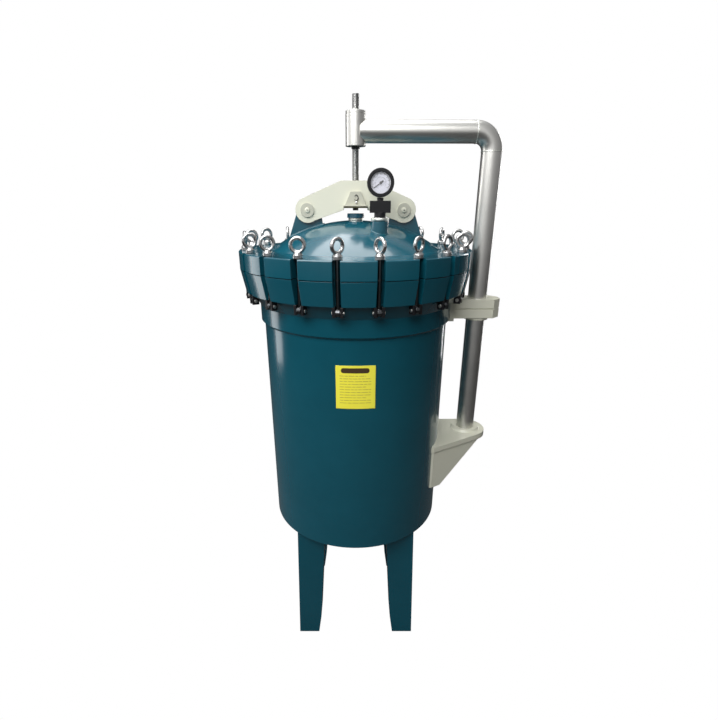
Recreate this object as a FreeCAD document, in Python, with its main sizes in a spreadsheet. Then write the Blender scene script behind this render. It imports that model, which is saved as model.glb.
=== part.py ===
"""Multi-cartridge filter housing with swing bolts, a lifting davit, a yoked lid and a pressure gauge.

Millimetres. The origin is the middle of the four anchor holes, on the floor, under the vessel's axis.
+Z is up, -Y is the front and the davit stands on the +X side.
"""
import FreeCAD, Part
import math
import os
import Sketcher

# --- Driving sizes: the spreadsheet's cells -----------------------------------------------------
SIZES = {
    # vessel
    "body_radius": 294.5,
    "body_wall": 6.0,
    "bottom_level": 472.0,
    "dish_depth": 110.0,
    "neck_step": 10.0,
    "neck_drop": 156.0,
    "neck_height": 50.0,
    "neck_chamfer": 9.0,
    "hub_step": 35.5,
    "flange_step": 50.0,
    "rim_step": 63.0,
    "flange_thickness": 65.4,
    "parting_level": 1343.0,
    "rim_break": 2.5,
    "weld_gap": 0.4,
    # seal
    "groove_step": 11.5,
    "groove_width": 8.0,
    "groove_depth": 5.0,
    "seal_clearance": 0.4,
    # lid
    "parting_gap": 2.0,
    "lid_thickness": 49.5,
    "dome_step": 35.5,
    "dome_height": 82.5,
    "dome_wall": 10.0,
    # swing bolts
    "bolt_count": 20.0,
    "bolt_step": 41.5,
    "slot_side_gap": 4.0,
    "bolt_radius": 6.0,
    "pivot_drop": 15.6,
    "eye_radius": 11.0,
    "eye_trim": 1.0,
    "pin_radius": 5.0,
    "running_fit": 0.05,
    "lug_side_gap": 0.5,
    "lug_thickness": 8.0,
    "lug_depth": 26.0,
    "lug_inboard": 10.0,
    "lug_outboard": 9.0,
    "pin_overhang": 2.0,
    "nut_seat_gap": 0.3,
    "nut_radius": 13.0,
    "nut_height": 9.0,
    "nut_shoulder_radius": 8.0,
    "nut_shoulder_height": 6.0,
    "nut_ring_radius": 17.0,
    "nut_ring_bar": 5.0,
    "nut_ring_level": 32.5,
    "bolt_end": 9.0,
    "bolt_end_gap": 1.0,
    # legs
    "leg_foot_outer": 213.0,
    "leg_top_outer": 200.5,
    "leg_foot_inner": 139.5,
    "leg_knee_inner": 129.0,
    "leg_knee_level": 78.0,
    "leg_top_inner": 105.5,
    "leg_depth": 80.0,
    "leg_wall": 6.0,
    "leg_foot_plate": 8.0,
    "leg_overlap": 4.0,
    "anchor_spacing": 344.0,
    "anchor_radius": 7.0,
    # nozzles
    "nozzle_radius": 44.45,
    "nozzle_wall": 5.5,
    "nozzle_step": 125.5,
    "nozzle_flange_radius": 100.0,
    "nozzle_flange_thickness": 20.0,
    "nozzle_bolt_circle": 80.0,
    "nozzle_bolt_hole": 9.0,
    "nozzle_bolt_count": 8.0,
    "inlet_level": 900.0,
    "outlet_level": 580.0,
    "drain_radius": 18.0,
    "drain_length": 34.0,
    "drain_rise": 4.0,
    "drain_hex": 27.0,
    "drain_hex_height": 17.0,
    # davit
    "davit_turn": 1.3,
    "davit_step": 104.5,
    "pipe_radius": 30.15,
    "pipe_wall": 3.9,
    "elbow_radius": 51.0,
    "arm_rise": 321.5,
    "arm_start": 12.0,
    "post_foot_level": 769.0,
    "bush_radius": 29.0,
    "bush_rise": 283.5,
    "bush_height": 81.0,
    "lift_nut_radius": 28.5,
    "lift_nut_height": 7.5,
    "lift_nut_gap": 0.4,
    # davit brackets
    "collar_gap": 0.35,
    "upper_drop": 8.0,
    "upper_height": 60.0,
    "upper_half_width": 42.0,
    "upper_overhang": 70.0,
    "upper_nose": 25.0,
    "upper_groove": 3.0,
    "upper_lip": 8.0,
    "upper_lip_wall": 10.0,
    "saddle_thickness": 14.0,
    "saddle_half_width": 80.0,
    "shelf_top": 766.0,
    "shelf_thickness": 19.0,
    "shelf_end_radius": 69.0,
    "shelf_root_step": 34.5,
    "shelf_root_width": 156.0,
    "shelf_tangent": 61.0,
    "gusset_low": 606.0,
    "gusset_wall": 8.0,
    "gusset_inset": 4.0,
    "gusset_foot": 2.0,
    "gusset_head": 40.0,
    "boss_radius": 50.0,
    "boss_top_radius": 45.0,
    "boss_height": 8.0,
    # lid lugs and yoke
    "ear_thickness": 20.0,
    "ear_low_outer": 212.0,
    "ear_high_outer": 171.0,
    "ear_low_inner": 94.0,
    "ear_high_inner": 108.0,
    "ear_low_rise": 10.5,
    "ear_high_rise": 125.5,
    "yoke_side_gap": 1.0,
    "yoke_thickness": 10.0,
    "yoke_pin_span": 145.0,
    "yoke_pin_rise": 111.5,
    "yoke_end_radius": 36.0,
    "yoke_shoulder": 44.0,
    "yoke_top_rise": 192.5,
    "yoke_under_rise": 124.5,
    "yoke_notch": 36.0,
    "yoke_notch_rise": 111.5,
    "yoke_tangent": 65.0,
    "yoke_heel": 55.0,
    "yoke_pin_radius": 9.0,
    "yoke_pin_head": 20.0,
    "yoke_pin_head_height": 5.0,
    "clevis_width": 70.0,
    "clevis_front": 44.0,
    "clevis_back": 32.0,
    "clevis_thickness": 7.0,
    "stop_height": 38.0,
    "stop_low_width": 64.0,
    "stop_high_width": 30.0,
    "stop_thickness": 8.0,
    "stop_gap": 0.5,
    # lifting rod
    "rod_radius": 10.0,
    "rod_rise": 414.5,
    "rod_fit": 0.08,
    "rod_nut_radius": 8.5,
    "rod_nut_height": 7.0,
    # vent and gauge
    "vent_ring_radius": 22.0,
    "vent_ring_height": 7.0,
    "vent_radius": 26.0,
    "vent_top_radius": 25.0,
    "vent_height": 12.0,
    "vent_gap": 0.4,
    "gauge_right": 68.0,
    "gauge_front": 130.0,
    "gauge_rise": 181.5,
    "gauge_boss_radius": 24.0,
    "gauge_boss_rise": 83.5,
    "gauge_neck_radius": 16.0,
    "gauge_block_rise": 105.5,
    "gauge_block_height": 31.0,
    "gauge_block_width": 57.0,
    "gauge_block_depth": 31.0,
    "gauge_stem_radius": 9.0,
    "gauge_radius": 36.5,
    "gauge_bezel": 9.0,
    "gauge_depth": 30.0,
    "gauge_dial_depth": 9.0,
    "gauge_dial_thickness": 1.5,
    "gauge_lens_thickness": 2.0,
    "pointer_length": 22.0,
    "pointer_width": 2.0,
    "pointer_tail": 9.0,
    "pointer_tail_width": 4.4,
    "pointer_hub": 3.6,
    "pointer_thickness": 1.2,
    "pointer_gap": 1.0,
    "pointer_rest": -125.0,
    # inner pieces
    "sheet_level": 690.0,
    "sheet_thickness": 12.0,
    "sheet_clearance": 0.5,
    "cartridge_radius": 75.0,
    "cartridge_core": 30.0,
    "cartridge_length": 508.0,
    "cartridge_cap_height": 15.0,
    "cartridge_cap_lip": 3.0,
    "cartridge_pitch": 185.0,
    "hold_down_step": 16.5,
    "hold_down_thickness": 8.0,
    # label
    "label_width": 113.0,
    "label_height": 131.0,
    "label_drop": 81.0,
    "label_thickness": 1.2,
    "label_glue": 0.1,
}

# Turn of each eye nut's ring about its bolt, in degrees, as the fitter happened to leave them.
RING_TURNS = (0, 35, 70, 10, 55, 100, 20, 140, 65, 30, 95, 177, 149, 116, 140, 28, 109, 89, 26, 0)
CARTRIDGE_RING = 6

doc = FreeCAD.newDocument("cartridge_filter_housing")
sheet = doc.addObject("Spreadsheet::Sheet", "Sizes")
for row, (alias, number) in enumerate(SIZES.items(), start=1):
    sheet.set(f"A{row}", alias)
    sheet.set(f"B{row}", str(number))
    sheet.setAlias(f"B{row}", alias)
doc.recompute()


# --- Sizes that carry their own expression ------------------------------------------------------
class Size:
    """A number in millimetres or degrees, with the spreadsheet expression that gives it."""

    def __init__(self, value, text):
        self.value = value
        self.text = text

    def join(self, other, sign, value):
        return Size(value, f"({self.text} {sign} {size(other).text})")

    def __add__(self, other):
        return self.join(other, "+", self.value + size(other).value)

    def __radd__(self, other):
        return size(other) + self

    def __sub__(self, other):
        return self.join(other, "-", self.value - size(other).value)

    def __rsub__(self, other):
        return size(other) - self

    def __mul__(self, other):
        return self.join(other, "*", self.value * size(other).value)

    def __rmul__(self, other):
        return size(other) * self

    def __truediv__(self, other):
        return self.join(other, "/", self.value / size(other).value)

    def __rtruediv__(self, other):
        return size(other) / self

    def __neg__(self):
        return 0 - self

    def cos(self):
        return Size(math.cos(math.radians(self.value)), f"cos({self.text})")

    def sin(self):
        return Size(math.sin(math.radians(self.value)), f"sin({self.text})")


def size(number):
    if isinstance(number, Size):
        return number
    return Size(float(number), f"({number})")


class Sheet:
    """The spreadsheet's cells by name, as Size values."""

    def __getattr__(self, alias):
        return Size(SIZES[alias], f"Sizes.{alias}")


d = Sheet()
ORIGIN_AXES = {"x": (1, 0, 0), "y": (0, 1, 0), "z": (0, 0, 1)}
BOLTS = int(SIZES["bolt_count"])
NOZZLE_BOLTS = int(SIZES["nozzle_bolt_count"])

# radii that follow the body's
bore_radius = d.body_radius - d.body_wall
neck_radius = d.body_radius + d.neck_step
hub_radius = d.body_radius + d.hub_step
flange_low_radius = d.body_radius + d.flange_step
rim_radius = d.body_radius + d.rim_step
groove_radius = d.body_radius + d.groove_step
bolt_circle = d.body_radius + d.bolt_step
dome_radius = d.body_radius - d.dome_step
davit_reach = d.body_radius + d.davit_step
upper_end = davit_reach + d.upper_overhang
shelf_root = d.body_radius - d.shelf_root_step
hold_down_radius = bore_radius - d.hold_down_step
nozzle_reach = d.body_radius + d.nozzle_step
nozzle_bore = d.nozzle_radius - d.nozzle_wall

# levels that follow the parting line
flange_low = d.parting_level - d.flange_thickness
neck_level = d.parting_level - d.neck_drop
upper_low = neck_level - d.upper_drop
upper_high = upper_low + d.upper_height
label_high = neck_level - d.label_drop
label_low = label_high - d.label_height
lid_low = d.parting_level + d.parting_gap
lid_top = lid_low + d.lid_thickness
dome_top = lid_top + d.dome_height
ear_low_level = lid_top + d.ear_low_rise
ear_high_level = lid_top + d.ear_high_rise
yoke_pin_level = lid_top + d.yoke_pin_rise
yoke_notch_low = lid_top + d.yoke_notch_rise
yoke_under = lid_top + d.yoke_under_rise
yoke_top = lid_top + d.yoke_top_rise
gauge_boss_top = lid_top + d.gauge_boss_rise
gauge_block_low = lid_top + d.gauge_block_rise
gauge_block_high = gauge_block_low + d.gauge_block_height
gauge_centre = lid_top + d.gauge_rise
bush_low = lid_top + d.bush_rise
bush_high = bush_low + d.bush_height
arm_level = lid_top + d.arm_rise
rod_top = lid_top + d.rod_rise
pivot_level = flange_low - d.pivot_drop
leg_top_level = d.bottom_level + d.leg_overlap

# widths that follow the rods they hold
eye_width = d.bolt_radius * 2 - d.eye_trim
slot_width = (d.bolt_radius + d.slot_side_gap) * 2
yoke_gap = (d.rod_radius + d.yoke_side_gap) * 2
bolt_angle = 360 / d.bolt_count
first_bolt = d.davit_turn + bolt_angle / 2


# --- Helpers ------------------------------------------------------------------------------------
def bind(thing, prop, number):
    """Binds a property to the spreadsheet."""
    thing.setExpression(prop, size(number).text)


def place(thing, at=(0, 0, 0), turn=0, axis="z"):
    """Sets a Placement whose base and angle follow the spreadsheet."""
    base = [size(number) for number in at]
    angle = size(turn)
    rotation = FreeCAD.Rotation(FreeCAD.Vector(*ORIGIN_AXES[axis]), angle.value)
    thing.Placement = FreeCAD.Placement(FreeCAD.Vector(*[b.value for b in base]), rotation)
    for letter, number in zip("xyz", base):
        bind(thing, f"Placement.Base.{letter}", number)
    if isinstance(turn, Size):
        bind(thing, "Placement.Rotation.Angle", angle)
    return thing


def cylinder(name, radius, height, at=(0, 0, 0), turn=0, axis="z"):
    thing = doc.addObject("Part::Cylinder", name)
    bind(thing, "Radius", radius)
    bind(thing, "Height", height)
    return place(thing, at, turn, axis)


def cone(name, low_radius, high_radius, height, at=(0, 0, 0)):
    thing = doc.addObject("Part::Cone", name)
    bind(thing, "Radius1", low_radius)
    bind(thing, "Radius2", high_radius)
    bind(thing, "Height", height)
    return place(thing, at)


def torus(name, ring, bar, at=(0, 0, 0), turn=0, axis="z"):
    thing = doc.addObject("Part::Torus", name)
    bind(thing, "Radius1", ring)
    bind(thing, "Radius2", bar)
    return place(thing, at, turn, axis)


def box(name, low, high):
    """A box between two corners."""
    thing = doc.addObject("Part::Box", name)
    for prop, a, b in zip(("Length", "Width", "Height"), low, high):
        bind(thing, prop, size(b) - a)
    return place(thing, low)


def prism_hex(name, radius, height, at):
    thing = doc.addObject("Part::Prism", name)
    thing.Polygon = 6
    bind(thing, "Circumradius", radius)
    bind(thing, "Height", height)
    return place(thing, at)


def cut(name, base, tool):
    thing = doc.addObject("Part::Cut", name)
    thing.Base = base
    thing.Tool = tool
    return thing


def common(name, base, tool):
    thing = doc.addObject("Part::Common", name)
    thing.Base = base
    thing.Tool = tool
    return thing


def fuse(name, *shapes):
    thing = doc.addObject("Part::MultiFuse", name)
    thing.Shapes = list(shapes)
    return thing


def group(name, *links):
    """Separate solids kept side by side."""
    thing = doc.addObject("Part::Compound", name)
    thing.Links = list(links)
    return thing


def copy_of(source, name, at=(0, 0, 0), turn=0):
    """A linked copy that is turned about Z and moved."""
    thing = doc.addObject("App::Link", name)
    thing.LinkedObject = source
    thing.LinkTransform = True
    return place(thing, at, turn)


def mirrored(source, name):
    """The same piece on the other side of the YZ plane."""
    thing = doc.addObject("Part::Mirroring", name)
    thing.Source = source
    thing.Normal = FreeCAD.Vector(1, 0, 0)
    return thing


def sketch_on(body, role, name):
    sketch = body.newObject("Sketcher::SketchObject", name)
    plane = [f for f in body.Origin.OriginFeatures if f.Role == role][0]
    sketch.AttachmentSupport = [(plane, "")]
    sketch.MapMode = "FlatFace"
    return sketch


def outline(sketch, corners):
    """Draws a closed outline. A corner is (across, up), or (across, up, "arc") where the edge that
    leaves it is an arc centred on the sketch's upright axis."""
    count = len(corners)
    spots = [(size(c[0]), size(c[1])) for c in corners]
    ends = []
    for i, corner in enumerate(corners):
        (x0, y0), (x1, y1) = [(s[0].value, s[1].value) for s in (spots[i], spots[(i + 1) % count])]
        if len(corner) == 3:
            middle = (x1 * x1 + y1 * y1 - x0 * x0 - y0 * y0) / (2 * (y1 - y0))
            radius = math.hypot(x0, y0 - middle)
            angles = [math.atan2(y0 - middle, x0), math.atan2(y1 - middle, x1)]
            forward = angles[0] < angles[1]
            circle = Part.Circle(FreeCAD.Vector(0, middle, 0), FreeCAD.Vector(0, 0, 1), radius)
            index = sketch.addGeometry(Part.ArcOfCircle(circle, min(angles), max(angles)), False)
            ends.append((index, 1, 2) if forward else (index, 2, 1))
            sketch.addConstraint(Sketcher.Constraint("PointOnObject", index, 3, -2))
        else:
            line = Part.LineSegment(FreeCAD.Vector(x0, y0, 0), FreeCAD.Vector(x1, y1, 0))
            index = sketch.addGeometry(line, False)
            ends.append((index, 1, 2))
    for i, (index, start, end) in enumerate(ends):
        following, next_start, _ = ends[(i + 1) % count]
        sketch.addConstraint(Sketcher.Constraint("Coincident", index, end, following, next_start))
    for (index, start, _), (x, y) in zip(ends, spots):
        for kind, number in (("DistanceX", x), ("DistanceY", y)):
            rule = sketch.addConstraint(Sketcher.Constraint(kind, -1, 1, index, start, number.value))
            sketch.setExpression(f"Constraints[{rule}]", number.text)
    return sketch


def turned(name, corners):
    """A body of revolution about Z."""
    body = doc.addObject("PartDesign::Body", name)
    sketch = outline(sketch_on(body, "XZ_Plane", name + "_profile"), corners)
    feature = body.newObject("PartDesign::Revolution", name + "_turned")
    feature.Profile = sketch
    feature.ReferenceAxis = (sketch, ["V_Axis"])
    feature.Angle = 360
    body.Tip = feature
    return body


def slotted(body, inner, outer, width, count):
    """Cuts open radial slots right through a turned body, evenly spaced from its own X axis."""
    sketch = sketch_on(body, "XY_Plane", body.Name + "_slot")
    outline(sketch, [(inner, -width / 2), (outer, -width / 2), (outer, width / 2), (inner, width / 2)])
    pocket = body.newObject("PartDesign::Pocket", body.Name + "_slots")
    pocket.Profile = sketch
    pocket.Type = "ThroughAll"
    pocket.Midplane = True
    doc.recompute()
    ring = body.newObject("PartDesign::PolarPattern", body.Name + "_ring")
    ring.Originals = [pocket]
    ring.Axis = (sketch, ["N_Axis"])
    ring.Angle = 360
    bind(ring, "Occurrences", count)
    body.Tip = ring
    return body


def plate(name, role, corners, thickness, at=(0, 0, 0), turn=0):
    """A flat plate of any outline. On XZ_Plane it grows both ways along Y, on XY_Plane up from Z."""
    body = doc.addObject("PartDesign::Body", name)
    sketch = outline(sketch_on(body, role, name + "_outline"), corners)
    pad = body.newObject("PartDesign::Pad", name + "_pad")
    pad.Profile = sketch
    bind(pad, "Length", thickness)
    pad.Midplane = role == "XZ_Plane"
    body.Tip = pad
    return place(body, at, turn)


def polar(radius, angle):
    """A point at a radius and an angle about Z."""
    angle = size(angle)
    return radius * angle.cos(), radius * angle.sin()


nodes = []


def node(name, thing):
    """Names a finished sub-part."""
    thing.Label = name
    nodes.append(thing)
    return thing


# --- Vessel -------------------------------------------------------------------------------------
def vessel_profile(grow):
    """The vessel's outside, from the middle of its dished end up to the rim, grown by a gap."""
    return [
        (0, d.bottom_level - d.dish_depth - grow, "arc"),
        (d.body_radius + grow, d.bottom_level),
        (d.body_radius + grow, neck_level - d.neck_chamfer),
        (neck_radius + grow, neck_level),
        (neck_radius + grow, neck_level + d.neck_height),
        (hub_radius + grow, flange_low - grow),
        (flange_low_radius + grow, flange_low - grow),
        (rim_radius + grow, d.parting_level),
    ]


vessel_turned = turned(
    "vessel_turned",
    vessel_profile(size(0))
    + [
        (groove_radius + d.groove_width, d.parting_level),
        (groove_radius + d.groove_width, d.parting_level - d.groove_depth),
        (groove_radius, d.parting_level - d.groove_depth),
        (groove_radius, d.parting_level),
        (bore_radius, d.parting_level),
        (bore_radius, d.bottom_level, "arc"),
        (0, d.bottom_level - d.dish_depth + d.body_wall),
    ],
)
slot_inner = bolt_circle - slot_width / 2
slot_outer = rim_radius + slot_width
slotted(vessel_turned, slot_inner, slot_outer, slot_width, d.bolt_count)
place(vessel_turned, turn=first_bolt)

# solids that trim what is welded onto the vessel or the lid
vessel_form = turned("vessel_form", vessel_profile(d.weld_gap) + [(0, d.parting_level)])


def nozzle_bore_tool(name, level):
    return cylinder(name, nozzle_bore, nozzle_reach, (0, 0, level), -90, "x")


vessel_bores = fuse(
    "vessel_bores",
    nozzle_bore_tool("inlet_bore_tool", d.inlet_level),
    nozzle_bore_tool("outlet_bore_tool", d.outlet_level),
    cylinder("drain_bore_tool", d.drain_radius + d.collar_gap, d.dish_depth * 2,
             (0, 0, d.bottom_level - d.dish_depth * 2)),
)
node("vessel_shell", cut("vessel_shell", vessel_turned, vessel_bores))

node("lid_seal", cut(
    "lid_seal",
    cylinder("seal_outer", groove_radius + d.groove_width - d.seal_clearance,
             d.groove_depth + d.parting_gap - d.seal_clearance * 2,
             (0, 0, d.parting_level - d.groove_depth + d.seal_clearance)),
    cylinder("seal_inner", groove_radius + d.seal_clearance, d.groove_depth * 4,
             (0, 0, d.parting_level - d.groove_depth * 2)),
))


# --- Bolt lugs and pins under the flange --------------------------------------------------------
def lug_plate(name, side):
    """One drilled lug beside a bolt's eye, hanging from the flange."""
    near = d.bolt_radius + d.lug_side_gap
    low_y, high_y = (near, near + d.lug_thickness) if side > 0 else (-near - d.lug_thickness, -near)
    block = box(name + "_block",
                (bolt_circle - d.lug_inboard, low_y, flange_low - d.lug_depth),
                (bolt_circle + d.lug_outboard, high_y, flange_low))
    hole = cylinder(name + "_hole", d.pin_radius + d.running_fit, d.lug_thickness * 6,
                    (bolt_circle, d.lug_thickness * 3, pivot_level), 90, "x")
    return cut(name, block, fuse(name + "_tools", hole, vessel_form))


lug_pair = group("lug_pair", lug_plate("lug_left", -1), lug_plate("lug_right", 1))
pin_half = d.bolt_radius + d.lug_side_gap + d.lug_thickness + d.pin_overhang
pivot_pin = cylinder("pivot_pin", d.pin_radius, pin_half * 2, (bolt_circle, pin_half, pivot_level), 90, "x")
bolt_angles = [first_bolt + bolt_angle * i for i in range(BOLTS)]
node("pivot_lugs", group("pivot_lugs", *[
    copy_of(lug_pair, f"lug_pair_{i + 1}", turn=a) for i, a in enumerate(bolt_angles)]))
node("pivot_pins", group("pivot_pins", *[
    copy_of(pivot_pin, f"pivot_pin_{i + 1}", turn=a) for i, a in enumerate(bolt_angles)]))


# --- Swing bolts --------------------------------------------------------------------------------
def swing_rod():
    """A round rod that ends in a flat drilled eye round its pivot pin."""
    rod = cylinder("swing_rod_bar", d.bolt_radius, lid_top + d.bolt_end - pivot_level,
                   (bolt_circle, 0, pivot_level))
    eye = cylinder("swing_rod_eye", d.eye_radius, eye_width,
                   (bolt_circle, eye_width / 2, pivot_level), 90, "x")
    hole = cylinder("swing_rod_hole", d.pin_radius + d.running_fit, eye_width * 4,
                    (bolt_circle, eye_width * 2, pivot_level), 90, "x")
    return cut("swing_rod", fuse("swing_rod_blank", rod, eye), hole)


def eye_nut():
    """A lifting-eye nut: a round seat with a short shoulder under an upright ring."""
    seat = cylinder("eye_nut_seat", d.nut_radius, d.nut_height)
    shoulder = cone("eye_nut_shoulder", d.nut_radius, d.nut_shoulder_radius, d.nut_shoulder_height,
                    (0, 0, d.nut_height))
    ring = torus("eye_nut_ring", d.nut_ring_radius, d.nut_ring_bar, (0, 0, d.nut_ring_level), 90, "x")
    bore = cylinder("eye_nut_bore", d.bolt_radius + d.running_fit, d.bolt_end + d.bolt_end_gap)
    return cut("eye_nut", fuse("eye_nut_blank", seat, shoulder, ring), bore)


rod_master = swing_rod()
nut_master = eye_nut()
for i, angle in enumerate(bolt_angles):
    x, y = polar(bolt_circle, angle)
    node(f"swing_bolt_{i + 1:02d}", group(
        f"swing_bolt_{i + 1:02d}",
        copy_of(rod_master, f"swing_rod_{i + 1}", turn=angle),
        copy_of(nut_master, f"eye_nut_{i + 1}", (x, y, lid_top + d.nut_seat_gap), angle + RING_TURNS[i]),
    ))


# --- Legs ---------------------------------------------------------------------------------------
def leg_outline(wall, low):
    """A leg's front, tapered and cropped on its inner edge, shrunk by a wall. Its foot is at a level."""
    foot_in = d.leg_foot_inner + (d.leg_knee_inner - d.leg_foot_inner) * (low / d.leg_knee_level)
    foot_out = d.leg_foot_outer + (d.leg_top_outer - d.leg_foot_outer) * (low / leg_top_level)
    return [
        (foot_in + wall, low),
        (foot_out - wall, low),
        (d.leg_top_outer - wall, leg_top_level),
        (d.leg_top_inner + wall, leg_top_level),
        (d.leg_knee_inner + wall, d.leg_knee_level),
    ]


def leg_channel():
    """A folded channel with its back open towards the vessel's axis, on a drilled foot plate."""
    middle = d.leg_foot_outer - d.leg_depth / 2
    outer = plate("leg_outer", "XZ_Plane", leg_outline(size(0), size(0)), d.leg_depth, (0, -middle, 0))
    inner = plate("leg_inner", "XZ_Plane", leg_outline(d.leg_wall, d.leg_foot_plate), d.leg_depth,
                  (0, d.leg_wall - middle, 0))
    anchor = cylinder("leg_anchor", d.anchor_radius, d.leg_foot_plate * 3,
                      (d.anchor_spacing / 2, -d.anchor_spacing / 2, -d.leg_foot_plate))
    channel = cut("leg_channel", outer, fuse("leg_hollow", inner, anchor))
    return cut("leg_master", channel, vessel_form)


leg_right = leg_channel()
leg_left = mirrored(leg_right, "leg_mirror")
node("leg_front_right", group("leg_front_right", copy_of(leg_right, "leg_front_right_placed")))
node("leg_front_left", group("leg_front_left", copy_of(leg_left, "leg_front_left_placed")))
node("leg_back_left", group("leg_back_left", copy_of(leg_right, "leg_back_left_placed", turn=180)))
node("leg_back_right", group("leg_back_right", copy_of(leg_left, "leg_back_right_placed", turn=180)))


# --- Nozzles and drain --------------------------------------------------------------------------
def nozzle(name, level):
    """A flanged stub pipe at the back of the vessel."""
    pipe = cylinder(name + "_pipe", d.nozzle_radius, nozzle_reach, (0, 0, level), -90, "x")
    flange = cylinder(name + "_flange", d.nozzle_flange_radius, d.nozzle_flange_thickness,
                      (0, nozzle_reach - d.nozzle_flange_thickness, level), -90, "x")
    holes = []
    for i in range(NOZZLE_BOLTS):
        across, up = polar(d.nozzle_bolt_circle, 360 / d.nozzle_bolt_count * (i + 0.5))
        holes.append(cylinder(f"{name}_hole_{i}", d.nozzle_bolt_hole, d.nozzle_flange_thickness * 3,
                              (across, nozzle_reach - d.nozzle_flange_thickness * 2, level + up), -90, "x"))
    bore = cylinder(name + "_bore", nozzle_bore, nozzle_reach * 2, (0, 0, level), -90, "x")
    inside = cylinder(name + "_inside", d.body_radius + d.weld_gap, d.nozzle_flange_radius * 3,
                      (0, 0, level - d.nozzle_flange_radius * 1.5))
    return cut(name, fuse(name + "_blank", pipe, flange), fuse(name + "_cuts", bore, inside, *holes))


node("inlet_nozzle", nozzle("inlet_nozzle", d.inlet_level))
node("outlet_nozzle", nozzle("outlet_nozzle", d.outlet_level))
drain_low = d.bottom_level - d.dish_depth + d.body_wall + d.drain_rise - d.drain_length
node("drain_plug", fuse(
    "drain_plug",
    cylinder("drain_stem", d.drain_radius, d.drain_length, (0, 0, drain_low)),
    prism_hex("drain_head", d.drain_hex, d.drain_hex_height, (0, 0, drain_low - d.drain_hex_height)),
))


# --- Davit --------------------------------------------------------------------------------------
def davit_xy(radius):
    return polar(size(radius), d.davit_turn)


post_x, post_y = davit_xy(davit_reach)
post_top = arm_level - d.elbow_radius


def pipe(name, length, at, turn=0, axis="z"):
    outer = cylinder(name + "_outer", d.pipe_radius, length, at, turn, axis)
    inner = cylinder(name + "_inner", d.pipe_radius - d.pipe_wall, length, at, turn, axis)
    return cut(name, outer, inner)


node("davit_post", pipe("davit_post", post_top - d.post_foot_level, (post_x, post_y, d.post_foot_level)))


def davit_elbow():
    """A quarter bend from the post's top to the arm, thickened by a seam at its foot."""
    bend = doc.addObject("Part::Torus", "elbow_bend")
    hollow = doc.addObject("Part::Torus", "elbow_hollow")
    bind(bend, "Radius2", d.pipe_radius)
    bind(hollow, "Radius2", d.pipe_radius - d.pipe_wall)
    for ring in (bend, hollow):
        bind(ring, "Radius1", d.elbow_radius)
        ring.Angle3 = 90
        place(ring, turn=90, axis="x")
    bent = cut("elbow_cut", bend, hollow)
    x, y = davit_xy(davit_reach - d.elbow_radius)
    return copy_of(bent, "elbow_placed", (x, y, post_top), d.davit_turn)


node("davit_elbow", group("davit_elbow", davit_elbow()))

arm_length = davit_reach - d.elbow_radius - d.arm_start
arm_bar = cut(
    "arm_bar",
    cylinder("arm_outer", d.pipe_radius, arm_length, (d.arm_start, 0, 0), 90, "y"),
    fuse("arm_cuts",
         cylinder("arm_inner", d.pipe_radius - d.pipe_wall, arm_length, (d.arm_start, 0, 0), 90, "y"),
         cylinder("arm_cope", d.bush_radius + d.weld_gap, d.pipe_radius * 4, (0, 0, -d.pipe_radius * 2))),
)
node("davit_arm", group("davit_arm", copy_of(arm_bar, "arm_placed", (0, 0, arm_level), d.davit_turn)))
node("davit_bush", cut(
    "davit_bush",
    cylinder("bush_outer", d.bush_radius, bush_high - bush_low, (0, 0, bush_low)),
    cylinder("bush_inner", d.rod_radius + d.rod_fit, bush_high - bush_low, (0, 0, bush_low)),
))
node("lift_nut", cut(
    "lift_nut",
    cylinder("lift_nut_outer", d.lift_nut_radius, d.lift_nut_height, (0, 0, bush_high + d.lift_nut_gap)),
    cylinder("lift_nut_inner", d.rod_radius + d.rod_fit, d.lift_nut_height * 2, (0, 0, bush_high)),
))


# --- Davit brackets -----------------------------------------------------------------------------
def upper_bracket():
    """Two stacked guide plates round the post on a saddle that follows the neck."""
    height = upper_high - upper_low
    nose = d.upper_nose
    start = bore_radius
    tongue = plate("upper_tongue", "XY_Plane", [
        (start, -d.upper_half_width),
        (upper_end - nose, -d.upper_half_width),
        (upper_end, -d.upper_half_width + nose),
        (upper_end, d.upper_half_width - nose),
        (upper_end - nose, d.upper_half_width),
        (start, d.upper_half_width),
    ], height, (0, 0, upper_low))
    saddle_box = box("saddle_box", (start, -d.saddle_half_width, upper_low),
                     (rim_radius, d.saddle_half_width, upper_high))
    saddle = common("saddle", saddle_box,
                    cylinder("saddle_outer", neck_radius + d.saddle_thickness, upper_high))
    lip = cylinder("upper_lip_ring", d.pipe_radius + d.upper_lip_wall, d.upper_lip,
                   (davit_reach, 0, upper_low - d.upper_lip))
    blank = fuse("upper_blank", tongue, saddle, lip)
    hole = cylinder("upper_hole", d.pipe_radius + d.collar_gap, height * 3,
                    (davit_reach, 0, upper_low - height))
    middle = (upper_low + upper_high) / 2
    ring = d.upper_half_width * 3
    split = cut("upper_split",
                box("split_outer", (neck_radius + d.saddle_thickness, -ring, middle - d.upper_groove / 2),
                    (upper_end * 2, ring, middle + d.upper_groove / 2)),
                box("split_core", (0, d.upper_groove - d.upper_half_width, 0),
                    (upper_end - d.upper_groove, d.upper_half_width - d.upper_groove, upper_high)))
    bracket = cut("upper_cut", blank, fuse("upper_tools", vessel_form, hole, split))
    return copy_of(bracket, "upper_placed", turn=d.davit_turn)


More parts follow.
